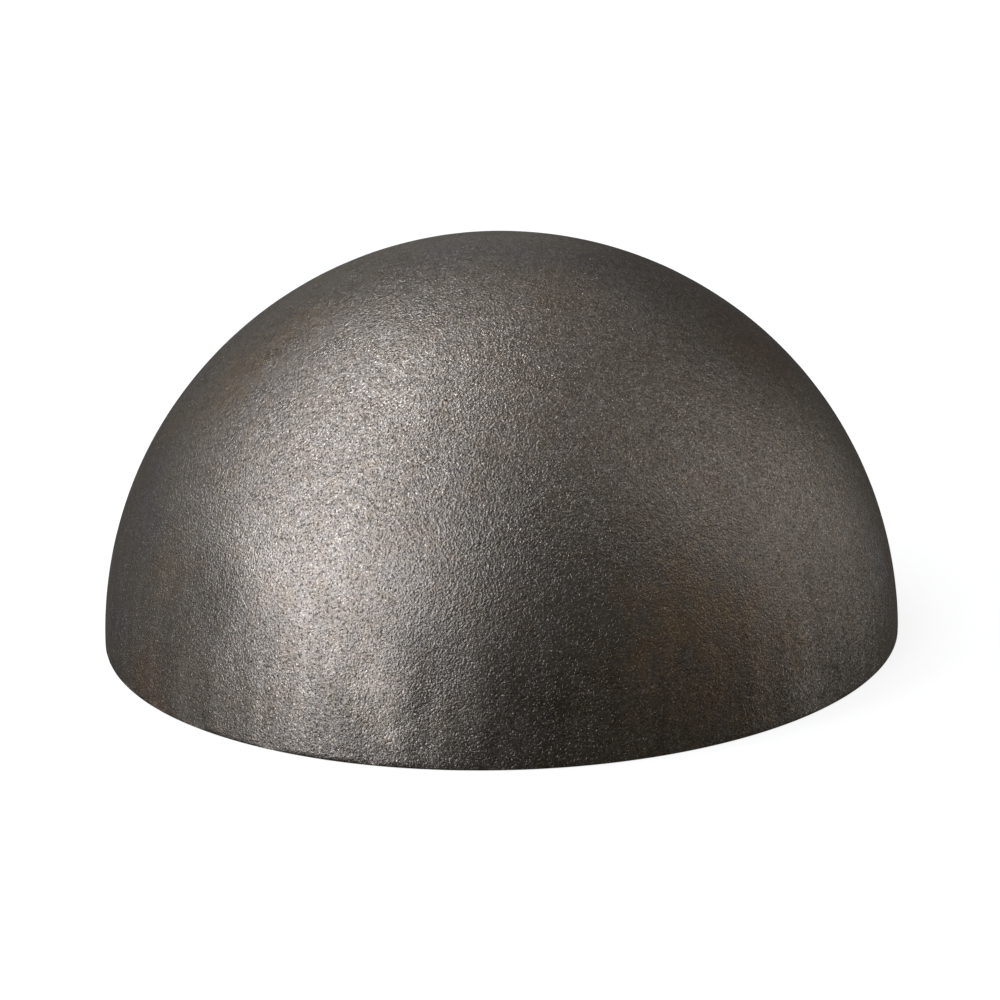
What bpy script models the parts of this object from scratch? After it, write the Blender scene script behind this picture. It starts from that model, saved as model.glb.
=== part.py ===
"""Hemispherical weld-on cap for the end of a steel pipe, pressed in one piece from plate.

Metres, +Z up. The origin is the centre of the rim's plane, and +Z is the axis of symmetry,
which leaves the cap through its crown. The open side faces down.
"""

import math

import bmesh
import bpy

# Driving dimensions
PIPE_OUTSIDE_DIAMETER = 0.0603  # NPS 2 (DN 50) pipe, which the rim meets flush
RIM_WALL = 0.0032  # plate thickness, kept at the rim
CROWN_WALL = 0.0029  # the press stretches the plate thinner over the crown
OUTER_EDGE_RADIUS = 0.0002  # worn corner where the dome meets the rim land
INNER_EDGE_BREAK = 0.0003  # deburred corner inside the mouth

# Facets
SEGMENTS = 80  # round the axis, a multiple of four so that the box is the full diameter
OUTER_STEPS = 20  # from the crown down to the rim's outer corner
CORNER_STEPS = 3  # round the rim's outer corner
INNER_STEPS = 18  # from the mouth up to the inside of the crown
WELD_DISTANCE = 1e-6
SMOOTH_BELOW = math.radians(30)

# Raw pressed steel, shot-blasted and slightly browned
STEEL_COLOUR = (0.235, 0.215, 0.195, 1.0)
STEEL_ROUGHNESS = 0.52
STEEL_METALLIC = 0.9

OUTER_RADIUS = PIPE_OUTSIDE_DIAMETER / 2
INNER_RADIUS = OUTER_RADIUS - RIM_WALL
INNER_HEIGHT = OUTER_RADIUS - CROWN_WALL


def clear_scene():
    for old in list(bpy.data.objects):
        bpy.data.objects.remove(old, do_unlink=True)


def steel_material():
    material = bpy.data.materials.new("raw_steel")
    material.use_nodes = True
    shader = material.node_tree.nodes["Principled BSDF"]
    shader.inputs["Base Color"].default_value = STEEL_COLOUR
    shader.inputs["Roughness"].default_value = STEEL_ROUGHNESS
    shader.inputs["Metallic"].default_value = STEEL_METALLIC
    return material


def arc(centre, radius, start, end, steps):
    """Points on a circle in the XZ plane, with angles measured up from +X."""
    points = []
    for step in range(steps + 1):
        angle = start + (end - start) * step / steps
        points.append(
            (centre[0] + radius * math.cos(angle), centre[1] + radius * math.sin(angle))
        )
    return points


def outer_profile():
    """From the crown down the hemisphere and round the worn corner to the rim land."""
    corner_lift = math.asin(OUTER_EDGE_RADIUS / (OUTER_RADIUS - OUTER_EDGE_RADIUS))
    corner_x = (OUTER_RADIUS - OUTER_EDGE_RADIUS) * math.cos(corner_lift)
    dome = arc((0.0, 0.0), OUTER_RADIUS, math.pi / 2, corner_lift, OUTER_STEPS)
    corner = arc(
        (corner_x, OUTER_EDGE_RADIUS),
        OUTER_EDGE_RADIUS,
        corner_lift,
        -math.pi / 2,
        CORNER_STEPS,
    )
    return dome + corner[1:]


def inner_profile():
    """From the broken inner corner of the mouth up the ellipsoid that the press leaves inside."""
    first = math.asin(INNER_EDGE_BREAK / INNER_HEIGHT)
    points = [(INNER_RADIUS + INNER_EDGE_BREAK, 0.0)]
    for step in range(INNER_STEPS + 1):
        angle = first + (math.pi / 2 - first) * step / INNER_STEPS
        points.append((INNER_RADIUS * math.cos(angle), INNER_HEIGHT * math.sin(angle)))
    return points


def turned_mesh(name, profile):
    """The profile spun once round +Z into a closed mesh whose poles lie on the axis."""
    shape = bmesh.new()
    points = [shape.verts.new((x, 0.0, z)) for x, z in profile]
    edges = [shape.edges.new(pair) for pair in zip(points, points[1:])]
    bmesh.ops.spin(
        shape,
        geom=points + edges,
        cent=(0.0, 0.0, 0.0),
        axis=(0.0, 0.0, 1.0),
        angle=2 * math.pi,
        steps=SEGMENTS,
        use_merge=True,
    )
    bmesh.ops.remove_doubles(shape, verts=shape.verts, dist=WELD_DISTANCE)
    bmesh.ops.recalc_face_normals(shape, faces=shape.faces)
    mesh = bpy.data.meshes.new(name)
    shape.to_mesh(mesh)
    shape.free()
    mesh.shade_smooth()
    mesh.set_sharp_from_angle(angle=SMOOTH_BELOW)
    return mesh


def make_dome_shell():
    mesh = turned_mesh("dome_shell", outer_profile() + inner_profile())
    mesh.materials.append(steel_material())
    shell = bpy.data.objects.new("dome_shell", mesh)
    bpy.context.scene.collection.objects.link(shell)


clear_scene()
make_dome_shell()
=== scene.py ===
"""The pressed steel pipe cap, dressed: a shot-blasted hemisphere standing mouth down on a pale floor."""
import math

import bpy
from mathutils import Matrix, Vector, noise


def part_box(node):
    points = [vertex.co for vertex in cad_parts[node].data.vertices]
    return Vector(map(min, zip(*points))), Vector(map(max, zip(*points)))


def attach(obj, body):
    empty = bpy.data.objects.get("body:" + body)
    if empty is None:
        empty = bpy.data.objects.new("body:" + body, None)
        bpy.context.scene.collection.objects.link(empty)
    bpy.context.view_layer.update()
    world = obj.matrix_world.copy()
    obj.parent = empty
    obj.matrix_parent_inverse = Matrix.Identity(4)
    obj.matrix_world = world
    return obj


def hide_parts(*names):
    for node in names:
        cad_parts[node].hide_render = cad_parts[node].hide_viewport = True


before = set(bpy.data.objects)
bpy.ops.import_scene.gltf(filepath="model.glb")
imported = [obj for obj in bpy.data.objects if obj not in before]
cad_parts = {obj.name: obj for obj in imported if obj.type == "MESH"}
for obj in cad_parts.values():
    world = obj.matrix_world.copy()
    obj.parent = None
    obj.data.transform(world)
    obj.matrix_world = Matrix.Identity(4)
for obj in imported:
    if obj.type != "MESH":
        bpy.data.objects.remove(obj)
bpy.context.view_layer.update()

MM = 0.001

# Sizes read from the frame
LOW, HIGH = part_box("dome_shell")
OUTER_RADIUS = (HIGH[0] - LOW[0]) / 2
HEIGHT = HIGH[2] - LOW[2]
RIM_Z = LOW[2]

# The wall, which the frame's solid has but its box doesn't give
RIM_WALL = 3.2 * MM
CROWN_WALL = 2.9 * MM
CORNER_RADIUS = 0.2 * MM
INNER_EDGE_BREAK = 0.3 * MM
CORNER_LIFT = math.asin(CORNER_RADIUS / (OUTER_RADIUS - CORNER_RADIUS))  # where the dome meets the corner
INNER_LIFT = math.asin(INNER_EDGE_BREAK / (HEIGHT - CROWN_WALL))  # where the inside meets the broken edge

# Mesh rows
OUTER_RINGS = 144  # rings from the crown to the rim, each with six more points than the one above it
INNER_RINGS = OUTER_RINGS // 2
CORNER_ROWS = 3
LAND_ROWS = 5
SHARP_EDGE = math.radians(40)

# Relief of the outer skin, in metres
ROUNDNESS_ERROR = 0.05 * MM
ROUNDNESS_WAVELENGTH = 24 * MM
PEEL_HEIGHT = 0.010 * MM
PEEL_WAVELENGTH = 3.0 * MM
HAMMER_HEIGHT = 0.004 * MM
HAMMER_WAVELENGTH = 1.3 * MM
STREAK_HEIGHT = 0.070 * MM
STREAK_WIDTH = 2.6 * MM
STREAK_LENGTH = 22 * MM
STREAK_REACH = 12 * MM  # how far the streaks run up from the rim

# These take each relief to a part of the noise of its own
PEEL_SHIFT = Vector((7, 3, 1))
HAMMER_SHIFT = Vector((2, 9, 4))
STREAK_SHIFT = 5


# ---------------------------------------------------------------- mesh


def fan_rings(rings, start):
    """Triangles of a round fan: ring k has 6k points, ring 0 is one point with index start."""
    first = [start] + [start + 1 + 3 * k * (k - 1) for k in range(1, rings + 1)]
    faces = []
    for k in range(rings):
        inner, outer = max(6 * k, 1), 6 * (k + 1)
        for side in range(6):
            for step in range(k + 1):
                a = first[k + 1] + (side * (k + 1) + step) % outer
                b = first[k + 1] + (side * (k + 1) + step + 1) % outer
                c = first[k] + (side * k + step) % inner
                faces.append((a, b, c))
                if step < k:
                    d = first[k] + (side * k + step + 1) % inner
                    faces.append((b, d, c))
    return faces


def fan_points(rings, surface):
    """Points of the same fan. surface(t, azimuth) gives a point, with t from 0 at the pole to 1."""
    points = [surface(0.0, 0.0)]
    for k in range(1, rings + 1):
        for step in range(6 * k):
            points.append(surface(k / rings, 2 * math.pi * step / (6 * k)))
    return points


def turned(x, z, azimuth):
    """The point of a profile at this x and z, turned about the axis."""
    return (x * math.cos(azimuth), x * math.sin(azimuth), z)


def strip(lower, upper, count):
    """Triangles between two closed rows of the same number of points, which start at these indices."""
    faces = []
    for step in range(count):
        after = (step + 1) % count
        faces.append((lower + step, lower + after, upper + after))
        faces.append((lower + step, upper + after, upper + step))
    return faces


def halving_strip(many, few, count):
    """Triangles from a row of 2 * count points to a row of count points."""
    faces = []
    for step in range(count):
        a, b, c = (many + (2 * step + k) % (2 * count) for k in range(3))
        d, e = few + step, few + (step + 1) % count
        faces.append((a, b, d))
        faces.append((b, e, d))
        faces.append((b, c, e))
    return faces


def skin_relief(point):
    """How far the pressed skin stands out from the true hemisphere. The point is from the rim's centre."""
    x, y, z = point
    at = Vector(point)
    relief = ROUNDNESS_ERROR * noise.noise(at / ROUNDNESS_WAVELENGTH)
    relief += PEEL_HEIGHT * noise.noise(at / PEEL_WAVELENGTH + PEEL_SHIFT)
    relief += HAMMER_HEIGHT * noise.noise(at / HAMMER_WAVELENGTH + HAMMER_SHIFT)
    fade = max(0.0, 1 - z / STREAK_REACH) ** 2
    if fade > 0:
        along = z / STREAK_LENGTH
        round_at = Vector((x, y, 0)).normalized() * OUTER_RADIUS / STREAK_WIDTH
        streak = noise.noise(Vector((round_at.x, round_at.y, along + STREAK_SHIFT)))
        relief += STREAK_HEIGHT * fade * streak
    return relief


def outer_surface(t, azimuth):
    """A point of the outer skin, from the crown at t = 0 to the rim's corner at t = 1."""
    angle = math.pi / 2 - t * (math.pi / 2 - CORNER_LIFT)
    outward = Vector(turned(math.cos(angle), math.sin(angle), azimuth))
    relief = skin_relief(outward * OUTER_RADIUS)
    return tuple(outward * (OUTER_RADIUS + relief) + Vector((0, 0, RIM_Z)))


def inner_surface(t, azimuth):
    """A point of the inside, from under the crown at t = 0 to the broken edge at t = 1."""
    angle = max(math.pi / 2 * (1 - t), INNER_LIFT)
    return turned(
        (OUTER_RADIUS - RIM_WALL) * math.cos(angle),
        RIM_Z + (HEIGHT - CROWN_WALL) * math.sin(angle),
        azimuth,
    )


def shell_mesh():
    """The closed shell: outer skin, rim's corner, rim's flat land, broken inner edge and inside."""
    points = fan_points(OUTER_RINGS, outer_surface)
    faces = fan_rings(OUTER_RINGS, 0)
    count = 6 * OUTER_RINGS
    row = len(points) - count
    edge_rows = []
    corner_x = OUTER_RADIUS - CORNER_RADIUS
    for step in range(1, CORNER_ROWS + 1):
        angle = -math.pi / 2 * step / CORNER_ROWS
        edge_rows.append(
            (
                corner_x + CORNER_RADIUS * math.cos(angle),
                RIM_Z + CORNER_RADIUS * (1 + math.sin(angle)),
            )
        )
    land_inner = OUTER_RADIUS - RIM_WALL + INNER_EDGE_BREAK
    for step in range(1, LAND_ROWS + 1):
        edge_rows.append((corner_x + (land_inner - corner_x) * step / LAND_ROWS, RIM_Z))
    edge_rows.append((OUTER_RADIUS - RIM_WALL, RIM_Z + INNER_EDGE_BREAK))
    for x, z in edge_rows:
        start = len(points)
        for step in range(count):
            points.append(turned(x, z, 2 * math.pi * step / count))
        # Each row lies below the one before it, so the triangles are turned over to face out
        faces += [(a, b, c) for a, c, b in strip(row, start, count)]
        row = start
    inner_start = len(points)
    inner = fan_points(INNER_RINGS, inner_surface)
    points += inner
    inner_row = len(points) - 6 * INNER_RINGS
    # The inside faces the other way from the outer skin
    faces += [(a, c, b) for a, b, c in fan_rings(INNER_RINGS, inner_start)]
    faces += [(a, c, b) for a, b, c in halving_strip(row, inner_row, count // 2)]
    mesh = bpy.data.meshes.new("cap_dome")
    mesh.from_pydata(points, [], faces)
    mesh.validate()
    mesh.shade_smooth()
    mesh.set_sharp_from_angle(angle=SHARP_EDGE)
    return mesh


# ------------------------------------------------------------ material


class Nodes:
    """Short calls for building a node tree."""

    # The Mix node's two colour inputs and its colour output
    MIX_FIRST, MIX_SECOND, MIX_RESULT = 6, 7, 2

    def __init__(self, tree):
        self.tree = tree

    def add(self, kind, settings=(), **inputs):
        node = self.tree.nodes.new(kind)
        for key, value in dict(settings).items():
            setattr(node, key, value)
        for key, value in inputs.items():
            self.feed(node.inputs[key.replace("_", " ")], value)
        return node

    def feed(self, socket, value):
        if isinstance(value, bpy.types.NodeSocket):
            self.tree.links.new(value, socket)
        else:
            socket.default_value = value

    def math(self, operation, first, second):
        node = self.add("ShaderNodeMath", {"operation": operation})
        self.feed(node.inputs[0], first)
        self.feed(node.inputs[1], second)
        return node.outputs[0]

    def noise(self, vector, size, detail=2.0, rough=0.5):
        node = self.add(
            "ShaderNodeTexNoise",
            Vector=vector,
            Scale=1 / size,
            Detail=detail,
            Roughness=rough,
        )
        return node.outputs["Fac"]

    def ramp(self, value, low, high, low_to=0.0, high_to=1.0):
        node = self.add("ShaderNodeMapRange", {"interpolation_type": "SMOOTHSTEP"})
        self.feed(node.inputs["Value"], value)
        node.inputs["From Min"].default_value = low
        node.inputs["From Max"].default_value = high
        node.inputs["To Min"].default_value = low_to
        node.inputs["To Max"].default_value = high_to
        return node.outputs["Result"]

    def mix_colour(self, factor, first, second, blend="MIX"):
        node = self.add("ShaderNodeMix", {"data_type": "RGBA", "blend_type": blend})
        self.feed(node.inputs["Factor"], factor)
        self.feed(node.inputs[self.MIX_FIRST], first)
        self.feed(node.inputs[self.MIX_SECOND], second)
        return node.outputs[self.MIX_RESULT]


# Grain of the blasted skin. A noise mostly runs from 0.3 to 0.7, so the relief is under half of each depth.
FINE_SIZE = 0.15 * MM
FINE_DEPTH = 0.057 * MM
COARSE_SIZE = 0.36 * MM
COARSE_DEPTH = 0.034 * MM
PIT_SIZE = 0.18 * MM
PIT_DEPTH = 0.034 * MM
PIT_BELOW = 0.40  # a pit is where its noise is under this, and it is full this much lower
PIT_EDGE = 0.10
CALM_FROM = 1 * MM  # the grain gets calmer from this X ...
CALM_TO = 13 * MM  # ... to this one ...
CALM = 0.80  # ... down to this part of its depth, and its pits to the next part
PIT_CALM = 0.45
PATCH_SIZE = 5 * MM  # the calm side's edge wanders with patches of this size ...
PATCH_REACH = 5 * MM  # ... as far as this to either side
DRAWN_TO = 8 * MM  # up to here above the rim the die has ironed the skin smoother ...
ROUGH_FROM = 22 * MM  # ... and from here up the blasting left it fully rough
DRAWN_RELIEF = 0.80  # how many times its depth the grain has there
CROWN_RELIEF = 1.16
BASE_ROUGH = 0.28  # the shader's roughness, which varies by ROUGH_SPREAD to either side
DRAWN_ROUGH = 0.05  # added near the rim
ROUGH_SPREAD = 0.02
ROUGH_PATCH = 2.5 * MM

# Colour of single grains, as parts of the steel's own brightness, with painted glints and painted shade in
# the pits
GRAIN_SIZE = 0.13 * MM
GRAIN_CONTRAST = 0.22
CLUSTER_SIZE = 0.45 * MM
CLUSTER_CONTRAST = 0.085
# Painted glints: bright flecks that stand in for the sparkle of single facets
GLINT_SIZE = 0.14 * MM
GLINT_ABOVE = 0.61  # a painted glint is where its noise is over this, and it is full this much higher
GLINT_EDGE = 0.10
GLINT = 0.8
SPECKLE_LOW = 3 * MM  # the speckle, which scales the grains and the painted glints, grows from here above the rim ...
SPECKLE_HIGH = 28 * MM  # ... to here
DRAWN_SPECKLE = 0.55
CROWN_SPECKLE = 1.75
RIM_SPECKLE = 1.0  # added at the rim, and gone at this height above it
RIM_SPECKLE_TOP = 11 * MM
SIDE_SPECKLE = 0.8  # added towards +X, from one X to the other
SIDE_FROM = 16 * MM
SIDE_TO = 26 * MM
GRAIN_TINT = 0.05  # how much of a coloured noise is laid over the grains
TONE_SIZE = 0.55 * MM
TONE_FROM, TONE_TO = 0.35, 0.65
TONE_BROWN = (1.014, 1.0, 0.976, 1.0)
TONE_SLATE = (0.988, 1.0, 1.024, 1.0)
PIT_SHADE_AND_DIRT = 0.30  # how much darker a pit is painted, for the dirt and the painted shade in it
RUST_SIZE = 0.35 * MM
RUST_ABOVE = 0.71  # as GLINT_ABOVE, for specks of rust
RUST_EDGE = 0.06
NOISE_LOW, NOISE_HIGH = 0.3, 0.7  # where nearly all of a noise lies
GLINT_AND_RUST_SHIFT = (0.3, 0.1, 0.2)  # takes the painted glints and the rust away from the grain's own pattern

STEEL = (0.262, 0.230, 0.201, 1.0)
EDGE_TINT = (0.90, 0.88, 0.85, 1.0)  # what the steel's reflection turns to where the surface is seen edge on
MOTTLE_SIZE = 2.4 * MM
MOTTLE_FROM, MOTTLE_TO = 0.42, 0.66
MOTTLE = (0.955, 0.925, 0.89, 1.0)
RUST = (0.72, 0.47, 0.32, 1.0)

# Stains on the dome, and one painted reflection: azimuth, elevation, radius in mm, what the steel's colour
# is multiplied by
BROWN = (1.04, 0.99, 0.90)
SLATE = (0.93, 0.97, 1.06)
STAINS_AND_PAINTED_REFLECTION = (
    # olive brown low on the right, and its paler surround
    (18, 6, 12.0, (1.04, 0.99, 0.90)),
    (24, 20, 6.0, (1.06, 1.01, 0.93)),
    (32, 12, 9.0, (1.20, 1.12, 1.00)),
    # rust brown at the left and upper edges
    (-60, 2, 5.0, (1.12, 0.98, 0.88)),
    (-57, 20, 4.0, BROWN),
    (-79, 35, 3.0, BROWN),
    (-70, 44, 5.0, BROWN),
    (-70, 51, 5.0, BROWN),
    (-69, 60, 5.0, BROWN),
    (30, 71, 5.5, (1.03, 1.00, 0.96)),
    (78, 49, 7.0, (0.97, 0.86, 0.80)),
    # slate grey at the crown and at both sides, and a painted bluish reflection low on the right edge
    (-69, 83, 5.5, SLATE),
    (44, 85, 5.0, SLATE),
    (69, 74, 4.5, (0.90, 0.93, 1.00)),
    (64, 64, 4.0, (0.92, 0.94, 0.99)),
    (-76, 30, 4.0, SLATE),
    (-68, 24, 4.0, SLATE),
    (-72, 10, 4.5, SLATE),
    # painted bluish reflection along the right edge
    (74, 14, 4.5, (0.98, 1.04, 1.16)),
    # round the back
    (-105, 12, 8.0, BROWN),
    (-120, 58, 8.0, BROWN),
    (-150, 34, 9.0, (0.95, 0.98, 1.03)),
    (-172, 64, 7.0, BROWN),
    (178, 15, 10.0, BROWN),
    (150, 48, 8.0, (0.94, 0.97, 1.02)),
    (138, 9, 7.0, (0.94, 0.96, 0.99)),
    (118, 27, 8.0, BROWN),
    (104, 66, 7.0, (0.96, 0.99, 1.03)),
)

# Lighter and darker places, some of them painted highlights and painted shade: azimuth, elevation, radius in
# mm, brightness
PAINTED_LIGHT_AND_TONE_SPOTS = (
    (-24, 66, 5.5, 0.90),
    # painted highlight along the edge of the smooth patch on the left shoulder, where the key's reflection
    # ends, with painted shade below it
    (-45, 28, 2.0, 1.07),
    (-41, 27, 3.0, 1.14),
    (-35, 23, 3.0, 1.12),
    (-31, 20, 2.0, 1.08),
    (-47, 21, 4.2, 0.83),
    (-42, 18, 3.2, 0.88),
    (-37, 15, 3.2, 0.89),
    (-52, 13, 6.0, 0.94),
    # a streak of painted highlight that runs up from the rim, with painted shade beside it
    (-17.5, 13, 3.4, 1.30),
    (-16.5, 8, 3.8, 1.32),
    (-16, 4, 3.0, 1.20),
    (-10, 4, 3.6, 1.30),
    (-7, 7.5, 3.6, 1.30),
    (-5, 11, 2.6, 1.22),
    (-22, 8, 3.4, 0.82),
    (-11.5, 15, 3.4, 0.86),
    (-11, 10, 2.2, 0.88),
    # darker in front
    (-0.5, 11, 4.5, 0.90),
    (3, 6, 5.0, 0.90),
    (6, 14, 6.0, 0.85),
    (11, 6, 5.0, 0.89),
    (12, 18, 4.5, 0.89),
    (13, 25, 4.0, 0.95),
    # darker and lighter places at the sides
    (26, 22, 8.0, 1.07),
    (36, 41, 6.0, 0.88),
    (47, 34, 5.0, 0.90),
    (54, 24, 4.0, 0.91),
    (54, 3, 5.0, 0.77),
    (-67, 21, 6.0, 0.92),
)

# A spot's edge follows a noise of this size, which is worth this many times the spot's radius
RAGGED_SIZE = 1.7 * MM
RAGGED = 1.9
SPOT_CORE = 0.05  # a spot fades from this part of its radius

# Places with more painted glints: azimuth, elevation, radius in mm
GLINT_SPOTS = (
    (-22, 50, 3.5),
    (-26, 25, 5.0),
    (42, 38, 2.0),
    (50, 32, 2.5),
)
GLINT_SPOT_GAIN = 0.05

# Places where the grain is flattened: azimuth, elevation, radius in mm
POLISHED = (
    (-17.5, 11, 3.0),
    (-15.5, 6, 3.0),
    (-9, 5.5, 2.2),
)
POLISH = 0.45

# Streaks of painted highlight and painted shade in the rim's colour, for the ripples of the drawn skin
PAINTED_STREAK_WIDTH = 1.1 * MM
PAINTED_STREAK_LENGTH = 14 * MM
PAINTED_STREAK_CONTRAST = 0.11
PAINTED_STREAK_FULL = 5.2 * MM  # the streaks are at their strongest up to here above the rim ...
PAINTED_STREAK_TOP = 13 * MM  # ... and end here


def toward(azimuth, elevation):
    """Unit vector to a place in the studio. Azimuth 0 is in front, at -Y, and 90 at +X."""
    a, e = math.radians(azimuth), math.radians(elevation)
    return Vector((math.sin(a) * math.cos(e), -math.cos(a) * math.cos(e), math.sin(e)))


def upward(nodes, place, start, reach, at_rim, at_crown):
    """A value that changes between two heights above the rim."""
    rise = nodes.add("ShaderNodeSeparateXYZ", Vector=place).outputs["Z"]
    return nodes.ramp(rise, RIM_Z + start, RIM_Z + reach, at_rim, at_crown)


def relief_height(nodes, place):
    """Height of the grain in metres, with the pits as a separate mask."""
    fine = nodes.noise(place, FINE_SIZE, detail=1.0, rough=0.6)
    coarse = nodes.noise(place, COARSE_SIZE, detail=1.0, rough=0.5)
    pit = nodes.ramp(nodes.noise(place, PIT_SIZE, detail=1.0), PIT_BELOW - PIT_EDGE, PIT_BELOW, 1.0, 0.0)
    side = nodes.add("ShaderNodeSeparateXYZ", Vector=place).outputs["X"]
    patchy = nodes.noise(place, PATCH_SIZE, detail=2.0)
    side = nodes.math("ADD", side, nodes.math("MULTIPLY", patchy, 2 * PATCH_REACH))
    start, end = CALM_FROM + PATCH_REACH, CALM_TO + PATCH_REACH
    calm = nodes.ramp(side, start, end, 1.0, CALM)
    drawn = upward(nodes, place, DRAWN_TO, ROUGH_FROM, DRAWN_RELIEF, CROWN_RELIEF)
    for azimuth, elevation, radius in POLISHED:
        near = near_spot(nodes, place, patchy, azimuth, elevation, radius)
        flat = nodes.math("SUBTRACT", 1.0, nodes.math("MULTIPLY", near, POLISH))
        drawn = nodes.math("MULTIPLY", drawn, flat)
    pit_calm = nodes.ramp(side, start, end, -PIT_DEPTH, -PIT_DEPTH * PIT_CALM)
    height = nodes.math("MULTIPLY", fine, FINE_DEPTH)
    height = nodes.math("ADD", height, nodes.math("MULTIPLY", coarse, COARSE_DEPTH))
    height = nodes.math("MULTIPLY", height, calm)
    height = nodes.math("ADD", height, nodes.math("MULTIPLY", pit, pit_calm))
    return nodes.math("MULTIPLY", height, drawn), pit


def near_spot(nodes, place, ragged, azimuth, elevation, radius):
    """1 within a ragged round spot on the dome, falling to 0 outside it. The radius is in mm."""
    centre = toward(azimuth, elevation) * OUTER_RADIUS + Vector((0, 0, RIM_Z))
    apart = nodes.add("ShaderNodeVectorMath", {"operation": "DISTANCE"})
    nodes.feed(apart.inputs[0], place)
    nodes.feed(apart.inputs[1], centre)
    reach = nodes.math("MULTIPLY_ADD", ragged, RAGGED * radius * MM)
    nodes.feed(reach.node.inputs[2], apart.outputs["Value"])
    middle = RAGGED / 2 * radius * MM
    return nodes.ramp(reach, middle + SPOT_CORE * radius * MM, middle + radius * MM, 1.0, 0.0)


def painted_streaks(nodes, place):
    """Upright streaks of painted highlight and painted shade near the rim, as a multiplier."""
    apart = nodes.add("ShaderNodeSeparateXYZ", Vector=place).outputs
    flat = nodes.add("ShaderNodeCombineXYZ", X=apart["X"], Y=apart["Y"]).outputs[0]
    around = nodes.add("ShaderNodeVectorMath", {"operation": "NORMALIZE"})
    nodes.feed(around.inputs[0], flat)
    spread = nodes.add("ShaderNodeVectorMath", {"operation": "SCALE"})
    nodes.feed(spread.inputs[0], around.outputs[0])
    nodes.feed(spread.inputs["Scale"], OUTER_RADIUS / PAINTED_STREAK_WIDTH)
    turns = nodes.add("ShaderNodeSeparateXYZ", Vector=spread.outputs[0]).outputs
    rise = nodes.math("MULTIPLY", apart["Z"], 1 / PAINTED_STREAK_LENGTH)
    where = nodes.add("ShaderNodeCombineXYZ", X=turns["X"], Y=turns["Y"], Z=rise).outputs[0]
    streak = nodes.noise(where, 1.0, detail=2.0)
    fade = nodes.ramp(apart["Z"], RIM_Z + PAINTED_STREAK_FULL, RIM_Z + PAINTED_STREAK_TOP, PAINTED_STREAK_CONTRAST, 0.0)
    swing = nodes.math("MULTIPLY", nodes.ramp(streak, NOISE_LOW, NOISE_HIGH, -1.0, 1.0), fade)
    return nodes.math("ADD", swing, 1.0)


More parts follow.
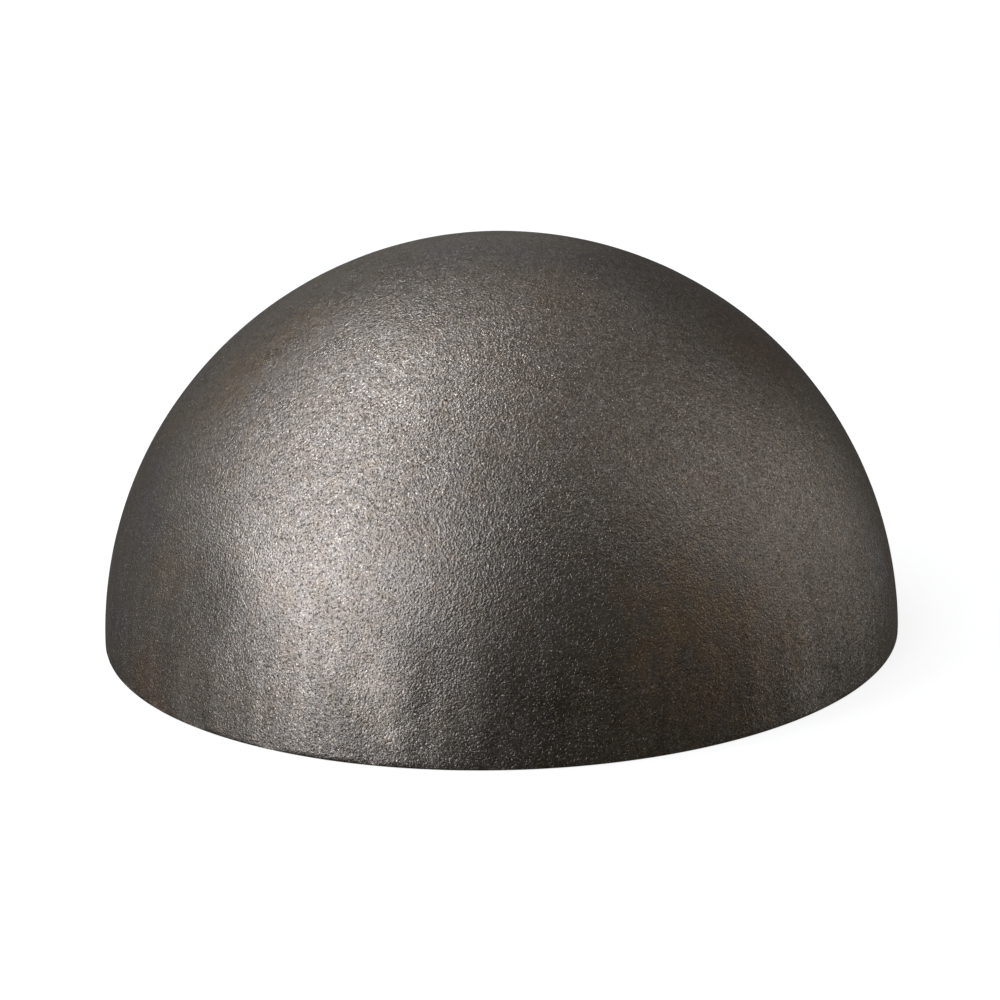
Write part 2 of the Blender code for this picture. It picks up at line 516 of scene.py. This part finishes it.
def steel_colour(nodes, place, pit):
    """The steel's colour: mottling, stains, a painted reflection, painted highlights and shade among other
    lighter and darker spots, painted streaks of highlight and shade, grains, painted glints, pits darkened
    by dirt and painted shade, and rust specks.
    """
    mottle = nodes.noise(place, MOTTLE_SIZE, detail=3.0, rough=0.6)
    mottle = nodes.ramp(mottle, MOTTLE_FROM, MOTTLE_TO)
    colour = nodes.mix_colour(mottle, STEEL, MOTTLE, "MULTIPLY")
    ragged = nodes.noise(place, RAGGED_SIZE, detail=4.0, rough=0.65)
    # stains, and a painted bluish reflection on the right edge
    for azimuth, elevation, radius, tint in STAINS_AND_PAINTED_REFLECTION:
        near = near_spot(nodes, place, ragged, azimuth, elevation, radius)
        colour = nodes.mix_colour(near, colour, (*tint, 1.0), "MULTIPLY")
    # painted highlights and painted shade, with other lighter and darker spots
    for azimuth, elevation, radius, shine in PAINTED_LIGHT_AND_TONE_SPOTS:
        near = near_spot(nodes, place, ragged, azimuth, elevation, radius)
        colour = nodes.mix_colour(near, colour, (shine, shine, shine, 1.0), "MULTIPLY")
    # painted highlight and shade streaks near the rim
    colour = nodes.mix_colour(1.0, colour, painted_streaks(nodes, place), "MULTIPLY")
    speckle = upward(nodes, place, SPECKLE_LOW, SPECKLE_HIGH, DRAWN_SPECKLE, CROWN_SPECKLE)
    rim_speckle = upward(nodes, place, SPECKLE_LOW, RIM_SPECKLE_TOP, RIM_SPECKLE, 0.0)
    speckle = nodes.math("ADD", speckle, rim_speckle)
    side = nodes.add("ShaderNodeSeparateXYZ", Vector=place).outputs["X"]
    speckle = nodes.math("ADD", speckle, nodes.ramp(side, SIDE_FROM, SIDE_TO, 0.0, SIDE_SPECKLE))
    for size, contrast in ((GRAIN_SIZE, GRAIN_CONTRAST), (CLUSTER_SIZE, CLUSTER_CONTRAST)):
        grain = nodes.noise(place, size, detail=1.0)
        grain = nodes.ramp(grain, NOISE_LOW, NOISE_HIGH, -contrast, contrast)
        grain = nodes.math("ADD", nodes.math("MULTIPLY", grain, speckle), 1.0)
        colour = nodes.mix_colour(1.0, colour, grain, "MULTIPLY")
    tone = nodes.ramp(nodes.noise(place, TONE_SIZE, detail=3.0, rough=0.6), TONE_FROM, TONE_TO)
    colour = nodes.mix_colour(1.0, colour, nodes.mix_colour(tone, TONE_BROWN, TONE_SLATE), "MULTIPLY")
    shift = nodes.add("ShaderNodeVectorMath", {"operation": "ADD"})
    nodes.feed(shift.inputs[0], place)
    nodes.feed(shift.inputs[1], GLINT_AND_RUST_SHIFT)
    # painted glints, strongest where the speckle is
    glint_noise = nodes.add("ShaderNodeTexNoise", Vector=shift.outputs[0], Scale=1 / GLINT_SIZE, Detail=1.0)
    level = glint_noise.outputs["Fac"]
    for azimuth, elevation, radius in GLINT_SPOTS:
        near = near_spot(nodes, place, ragged, azimuth, elevation, radius)
        level = nodes.math("ADD", level, nodes.math("MULTIPLY", near, GLINT_SPOT_GAIN))
    glint = nodes.ramp(level, GLINT_ABOVE, GLINT_ABOVE + GLINT_EDGE, 0.0, GLINT)
    glint = nodes.math("ADD", nodes.math("MULTIPLY", glint, speckle), 1.0)
    colour = nodes.mix_colour(1.0, colour, glint, "MULTIPLY")
    colour = nodes.mix_colour(GRAIN_TINT, colour, glint_noise.outputs["Color"], "OVERLAY")
    # pits darkened for their dirt and painted shade
    pit_shade_and_dirt = nodes.math("SUBTRACT", 1.0, nodes.math("MULTIPLY", pit, PIT_SHADE_AND_DIRT))
    colour = nodes.mix_colour(1.0, colour, pit_shade_and_dirt, "MULTIPLY")
    rust = nodes.noise(shift.outputs[0], RUST_SIZE, detail=2.0)
    rust = nodes.ramp(rust, RUST_ABOVE, RUST_ABOVE + RUST_EDGE)
    return nodes.mix_colour(rust, colour, RUST, "MULTIPLY")


def steel_material():
    """Raw steel, shot-blasted and stained, with painted highlights, shade, glints and a reflection in its
    colour.
    """
    material = bpy.data.materials.new("blasted_steel")
    material.use_nodes = True
    nodes = Nodes(material.node_tree)
    shader = material.node_tree.nodes["Principled BSDF"]
    place = nodes.add("ShaderNodeTexCoord").outputs["Object"]
    height, pit = relief_height(nodes, place)
    bump = nodes.add("ShaderNodeBump", Height=height, Distance=1.0, Strength=1.0)
    nodes.feed(shader.inputs["Normal"], bump.outputs["Normal"])
    nodes.feed(shader.inputs["Base Color"], steel_colour(nodes, place, pit))
    patch = nodes.noise(place, ROUGH_PATCH, detail=3.0)
    rough = nodes.ramp(patch, NOISE_LOW, NOISE_HIGH, BASE_ROUGH - ROUGH_SPREAD, BASE_ROUGH + ROUGH_SPREAD)
    rough = nodes.math("ADD", rough, upward(nodes, place, DRAWN_TO, ROUGH_FROM, DRAWN_ROUGH, 0.0))
    nodes.feed(shader.inputs["Roughness"], rough)
    shader.inputs["Metallic"].default_value = 1.0
    shader.inputs["Specular Tint"].default_value = EDGE_TINT
    return material


def make_cap():
    """The cap itself, which stands for the frame's plain dome."""
    mesh = shell_mesh()
    cap = bpy.data.objects.new("cap_dome", mesh)
    bpy.context.scene.collection.objects.link(cap)
    mesh.materials.append(steel_material())
    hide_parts("dome_shell")
    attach(cap, "root")
    return cap


# --------------------------------------------------------------- stage

CAMERA_DISTANCE = 10 * OUTER_RADIUS
CAMERA_ELEVATION = math.radians(16.8)
CAMERA_ROLL = math.radians(1.26)
CAMERA_LENS = 144.1  # in mm, as is the sensor
CAMERA_SENSOR = 36
CAMERA_AIM = Vector((0.07 * MM, 0, 10.1 * MM))  # the point in the middle of the picture

FLOOR_HALF = 3.0
FLOOR_ALBEDO = 0.3
FLOOR_ROUGH = 0.9
FLOOR_GLOW = 0.85  # the floor's own light, under the soft boxes
FLOOR_LIT = 0.25  # past this many metres the soft boxes light the floor less, so it glows more ...
FLOOR_FAR = 0.8  # ... and from here it is as white as the backdrop
ROOM_COLOUR = (1.0, 0.98, 0.96, 1)
ROOM_RADIANCE = 0.11  # above the horizon
ROOM_LOW_RADIANCE = 0.068  # below it
HORIZON_BLUR = 0.1  # the sine of the elevation that the change takes to either side

SOFT_BOX_DISTANCE = 0.8
KEY_COLOUR = (0.945, 1.0, 1.095)
FILL_COLOUR = (1.0, 1.0, 1.0)

# Each soft box: azimuth, elevation, turn about its own axis, width and height seen from the cap, radiance.
# The key is a long bent bank on the left, from below the floor, which casts no shadow, to over the back.
KEY_BOXES = {
    "key_1": (-55, -22, 0, 30, 20, 0.9),
    "key_2": (-49, -3, 117, 22, 28, 2.0),
    "key_3": (-59, 17, 118, 22, 28, 3.2),
    "key_4": (-71, 36, 123, 22, 28, 3.0),
    "key_5": (-91, 53, 138, 22, 28, 2.3),
    "key_6": (-129, 63, 170, 22, 28, 3.0),
    "key_side_1": (-32, 26, 0, 16, 24, 2.6),
    "key_side_2": (-32, 50, 0, 16, 24, 2.1),
    "key_side_3": (-108, 30, 0, 24, 24, 1.0),
}
# The fills are far weaker, and stand all round.
FILL_BOXES = {
    "fill": (99, 24, 0, 44, 44, 0.4),
    "fill_high": (75, 50, 0, 36, 36, 0.3),
    "back": (-165, 20, 0, 40, 40, 0.15),
    "back_high": (165, 55, 0, 40, 40, 0.25),
    "back_right": (125, 2, 0, 30, 30, 0.25),
    "back_left": (-125, 2, 0, 40, 40, 0.15),
    "top": (-30, 80, 0, 30, 30, 0.4),
    "low_left": (-90, -15, 0, 36, 36, 0.25),
    "low_right": (100, -14, 0, 30, 24, 0.25),
}


def make_camera():
    """A long lens in front, a little above the rim's plane."""
    data = bpy.data.cameras.new("camera")
    data.lens = CAMERA_LENS
    data.sensor_width = CAMERA_SENSOR
    camera = bpy.data.objects.new("camera", data)
    bpy.context.scene.collection.objects.link(camera)
    centre = Vector((0, 0, RIM_Z + HEIGHT / 2))
    away = Vector((0, -math.cos(CAMERA_ELEVATION), math.sin(CAMERA_ELEVATION)))
    spot = centre + away * CAMERA_DISTANCE
    back = (spot - CAMERA_AIM).normalized()
    turn = back.to_track_quat("Z", "Y").to_matrix().to_4x4()
    roll = Matrix.Rotation(-CAMERA_ROLL, 4, "Z")
    camera.matrix_world = Matrix.Translation(spot) @ turn @ roll
    bpy.context.scene.camera = camera


def make_floor():
    """A pale matt floor at the rim's height."""
    mesh = bpy.data.meshes.new("floor")
    corners = [(-1, -1), (1, -1), (1, 1), (-1, 1)]
    points = [(x * FLOOR_HALF, y * FLOOR_HALF, RIM_Z) for x, y in corners]
    mesh.from_pydata(points, [], [(0, 1, 2, 3)])
    floor = bpy.data.objects.new("floor", mesh)
    bpy.context.scene.collection.objects.link(floor)
    material = bpy.data.materials.new("pale_floor")
    material.use_nodes = True
    shader = material.node_tree.nodes["Principled BSDF"]
    shader.inputs["Base Color"].default_value = (FLOOR_ALBEDO, FLOOR_ALBEDO, FLOOR_ALBEDO, 1)
    shader.inputs["Roughness"].default_value = FLOOR_ROUGH
    shader.inputs["Specular IOR Level"].default_value = 0.0
    shader.inputs["Emission Color"].default_value = (1, 1, 1, 1)
    nodes = Nodes(material.node_tree)
    place = nodes.add("ShaderNodeTexCoord").outputs["Object"]
    out = nodes.add("ShaderNodeVectorMath", {"operation": "LENGTH"})
    nodes.feed(out.inputs[0], place)
    glow = nodes.ramp(out.outputs["Value"], FLOOR_LIT, FLOOR_FAR, FLOOR_GLOW, 1.0)
    nodes.feed(shader.inputs["Emission Strength"], glow)
    mesh.materials.append(material)
    # The floor is seen and catches the cap's shadow, but lights nothing and hides no lamp
    floor.visible_glossy = False
    floor.visible_diffuse = False
    floor.visible_shadow = False


def soft_box(name, colour, azimuth, elevation, turn, width, height, radiance):
    """A rectangular soft box that faces the cap from SOFT_BOX_DISTANCE. All angles are in degrees."""
    data = bpy.data.lights.new(name, "AREA")
    data.shape = "RECTANGLE"
    data.size = 2 * SOFT_BOX_DISTANCE * math.tan(math.radians(width / 2))
    data.size_y = 2 * SOFT_BOX_DISTANCE * math.tan(math.radians(height / 2))
    # A lamp that shines to one side gives out pi times its radiance over its area
    data.energy = math.pi * radiance * data.size * data.size_y
    data.color = colour
    light = bpy.data.objects.new(name, data)
    spot = toward(azimuth, elevation)
    facing = spot.to_track_quat("Z", "Y").to_matrix().to_4x4()
    turned_by = Matrix.Rotation(math.radians(turn), 4, "Z")
    light.matrix_world = Matrix.Translation(spot * SOFT_BOX_DISTANCE) @ facing @ turned_by
    light.visible_camera = False
    bpy.context.scene.collection.objects.link(light)


def make_lights():
    """The key's soft boxes, slightly blue, and the white fills."""
    for name, values in KEY_BOXES.items():
        soft_box(name, KEY_COLOUR, *values)
    for name, values in FILL_BOXES.items():
        soft_box(name, FILL_COLOUR, *values)


def make_world():
    """A dim room above the horizon, dark below it, in front of a white backdrop."""
    world = bpy.data.worlds.new("studio")
    bpy.context.scene.world = world
    world.use_nodes = True
    nodes = Nodes(world.node_tree)
    output = world.node_tree.nodes["World Output"]
    room = world.node_tree.nodes["Background"]
    room.inputs["Color"].default_value = ROOM_COLOUR
    place = nodes.add("ShaderNodeTexCoord").outputs["Generated"]
    rise = nodes.add("ShaderNodeSeparateXYZ", Vector=place).outputs["Z"]
    room_radiance = nodes.ramp(rise, -HORIZON_BLUR, HORIZON_BLUR, ROOM_LOW_RADIANCE, ROOM_RADIANCE)
    nodes.feed(room.inputs["Strength"], room_radiance)
    backdrop = nodes.add("ShaderNodeBackground", Color=(1, 1, 1, 1), Strength=1.0)
    seen = nodes.add("ShaderNodeLightPath").outputs["Is Camera Ray"]
    both = nodes.add("ShaderNodeMixShader")
    nodes.feed(both.inputs[0], seen)
    nodes.feed(both.inputs[1], room.outputs[0])
    nodes.feed(both.inputs[2], backdrop.outputs[0])
    nodes.feed(output.inputs["Surface"], both.outputs[0])


make_camera()
make_cap()
make_floor()
make_world()
make_lights()
bpy.context.scene.view_settings.view_transform = "Standard"
